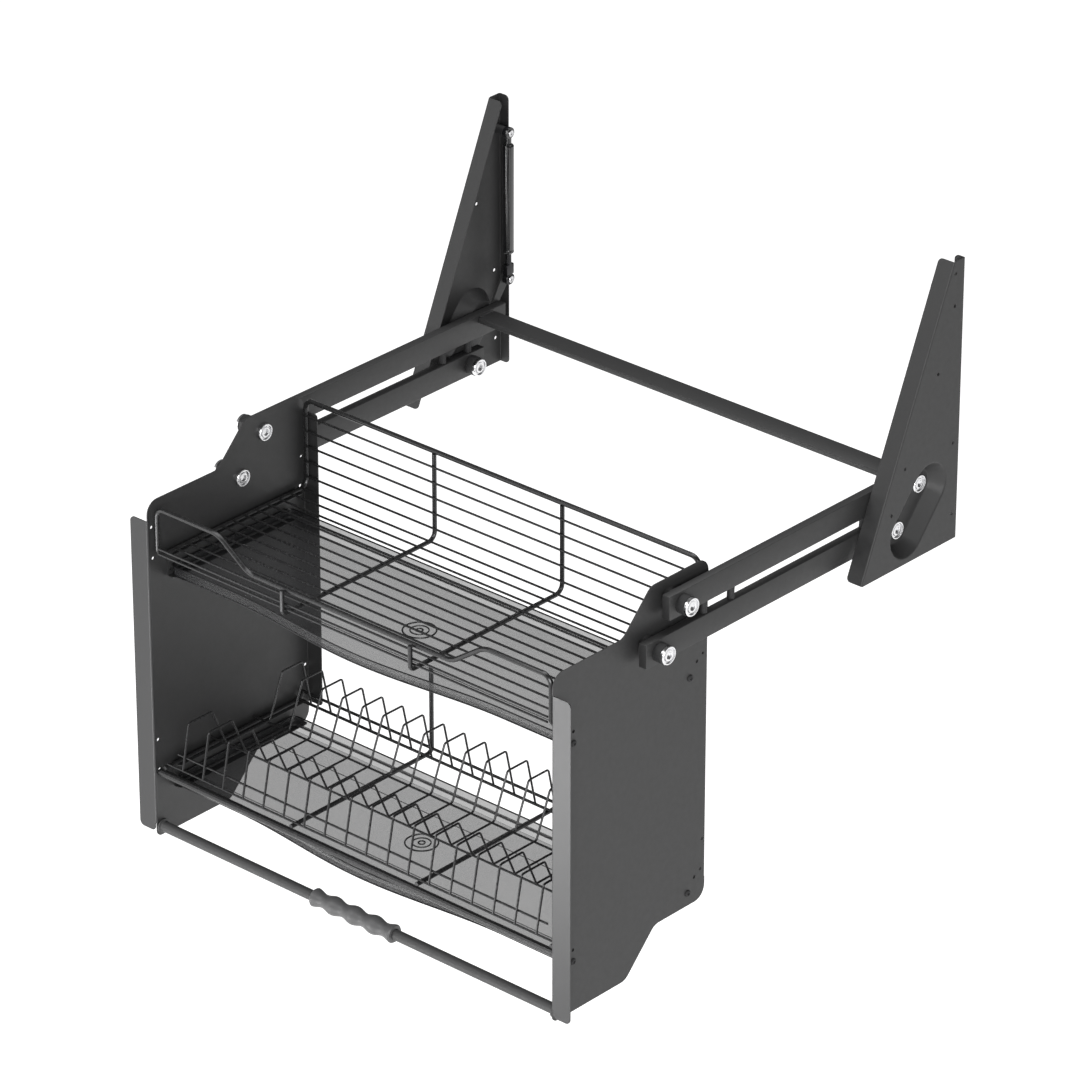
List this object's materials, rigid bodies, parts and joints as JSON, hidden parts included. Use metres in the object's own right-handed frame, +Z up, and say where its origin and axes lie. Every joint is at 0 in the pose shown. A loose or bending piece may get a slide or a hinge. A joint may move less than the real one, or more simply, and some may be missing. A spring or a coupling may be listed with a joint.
{
  "type": "pull down dish rack",
  "caption": "Pull down dish rack for a wall cabinet: two folded housings, parallel swing arms with gas struts, and a hanging carriage with wire baskets, drip trays and a pull bar.",
  "frame": {"origin": "midway between the two wall housings, on the line of their bottom rear corners", "axes": "+X to the right of a user who stands in front and faces the cabinet, +Y to the cabinet's back, +Z up"},
  "size_m": [0.7642, 0.7005, 0.7863],
  "materials": {
    "coated_steel": "dark grey satin powder coat",
    "black_wire": "near black coated wire",
    "bright_steel": "bright zinc plated",
    "black_gloss": "gloss black",
    "black_rubber": "matt black",
    "grey_tray": "smoky see-through",
    "grey_grip": "satin dark grey"
  },
  "bodies": {
    "wall_mounts": {"housing_left": "coated_steel", "upper_pivot_pin_left": "bright_steel", "lower_pivot_pin_left": "bright_steel", "rear_pivot_sleeve_left": "black_rubber", "strut_upper_pin_left": "bright_steel", "housing_right": "coated_steel", "upper_pivot_pin_right": "bright_steel", "lower_pivot_pin_right": "bright_steel", "rear_pivot_sleeve_right": "black_rubber", "strut_upper_pin_right": "bright_steel"},
    "upper_arms": {"cross_bar": "coated_steel", "upper_arm_left": "coated_steel", "strut_lever_left": "coated_steel", "stop_buffer_left_1": "black_rubber", "stop_buffer_left_2": "black_rubber", "stop_buffer_left_3": "black_rubber", "stop_buffer_left_4": "black_rubber", "upper_arm_right": "coated_steel", "strut_lever_right": "coated_steel", "stop_buffer_right_1": "black_rubber", "stop_buffer_right_2": "black_rubber", "stop_buffer_right_3": "black_rubber", "stop_buffer_right_4": "black_rubber"},
    "lower_arm_l": {"lower_arm_left": "coated_steel"},
    "lower_arm_r": {"lower_arm_right": "coated_steel"},
    "carriage": {"handle_bar": "coated_steel", "handle_grip": "grey_grip", "upper_basket_rim": "black_wire", "upper_basket_grid": "black_wire", "lower_basket_frame": "black_wire", "plate_rack": "black_wire", "side_panel_left": "coated_steel", "upper_pivot_bolt_left": "bright_steel", "lower_pivot_bolt_left": "bright_steel", "upper_pivot_sleeve_left": "black_rubber", "lower_pivot_sleeve_left": "black_rubber", "upper_pivot_nut_left": "bright_steel", "lower_pivot_nut_left": "bright_steel", "upper_bracket_left": "coated_steel", "lower_bracket_left": "coated_steel", "side_panel_right": "coated_steel", "upper_pivot_bolt_right": "bright_steel", "lower_pivot_bolt_right": "bright_steel", "upper_pivot_sleeve_right": "black_rubber", "lower_pivot_sleeve_right": "black_rubber", "upper_pivot_nut_right": "bright_steel", "lower_pivot_nut_right": "bright_steel", "upper_bracket_right": "coated_steel", "lower_bracket_right": "coated_steel"},
    "strut_tube_l": {"strut_tube_left": "black_gloss"},
    "strut_tube_r": {"strut_tube_right": "black_gloss"},
    "strut_rod_l": {"strut_rod_left": "black_gloss", "strut_lower_screw_left": "bright_steel"},
    "strut_rod_r": {"strut_rod_right": "black_gloss", "strut_lower_screw_right": "bright_steel"},
    "upper_tray": {"upper_drip_tray": "grey_tray"},
    "lower_tray": {"lower_drip_tray": "grey_tray"}
  },
  "joints": [
    {"name": "swing_down", "type": "hinge", "parent": "wall_mounts", "child": "upper_arms", "pos_m": [0, -0.057, 0.089], "axis": [-1, 0, 0], "range_deg": [0, 78]},
    {"name": "carriage_level", "type": "hinge", "parent": "upper_arms", "child": "carriage", "pos_m": [0, -0.491, 0.089], "axis": [-1, 0, 0], "range_deg": [-78, 0]},
    {"name": "lower_arm_left", "type": "hinge", "parent": "wall_mounts", "child": "lower_arm_l", "pos_m": [-0.35, -0.0985, 0.0405], "axis": [-1, 0, 0], "range_deg": [0, 78]},
    {"name": "strut_swing_left", "type": "hinge", "parent": "wall_mounts", "child": "strut_tube_l", "pos_m": [-0.352, -0.0165, 0.338], "axis": [1, 0, 0], "range_deg": [0, 2.26]},
    {"name": "strut_stroke_left", "type": "slide", "parent": "strut_tube_l", "child": "strut_rod_l", "axis": [0, -0.0024, -1], "range_m": [0, 0.0738]},
    {"name": "lower_arm_right", "type": "hinge", "parent": "wall_mounts", "child": "lower_arm_r", "pos_m": [0.35, -0.0985, 0.0405], "axis": [-1, 0, 0], "range_deg": [0, 78]},
    {"name": "strut_swing_right", "type": "hinge", "parent": "wall_mounts", "child": "strut_tube_r", "pos_m": [0.352, -0.0165, 0.338], "axis": [1, 0, 0], "range_deg": [0, 2.26]},
    {"name": "strut_stroke_right", "type": "slide", "parent": "strut_tube_r", "child": "strut_rod_r", "axis": [0, -0.0024, -1], "range_m": [0, 0.0738]},
    {"name": "upper_tray_slide", "type": "slide", "parent": "carriage", "child": "upper_tray", "axis": [0, -1, 0], "range_m": [0, 0.18]},
    {"name": "lower_tray_slide", "type": "slide", "parent": "carriage", "child": "lower_tray", "axis": [0, -1, 0], "range_m": [0, 0.18]}
  ],
  "couplings": [
    {"joint": "carriage_level", "follows": "swing_down", "ratio": -1},
    {"joint": "lower_arm_left", "follows": "swing_down", "ratio": 1},
    {"joint": "strut_swing_left", "follows": "swing_down", "ratio": 0.029},
    {"joint": "strut_stroke_left", "follows": "swing_down", "m_per_rad": 0.05421},
    {"joint": "lower_arm_right", "follows": "swing_down", "ratio": 1},
    {"joint": "strut_swing_right", "follows": "swing_down", "ratio": 0.029},
    {"joint": "strut_stroke_right", "follows": "swing_down", "m_per_rad": 0.05421}
  ]
}
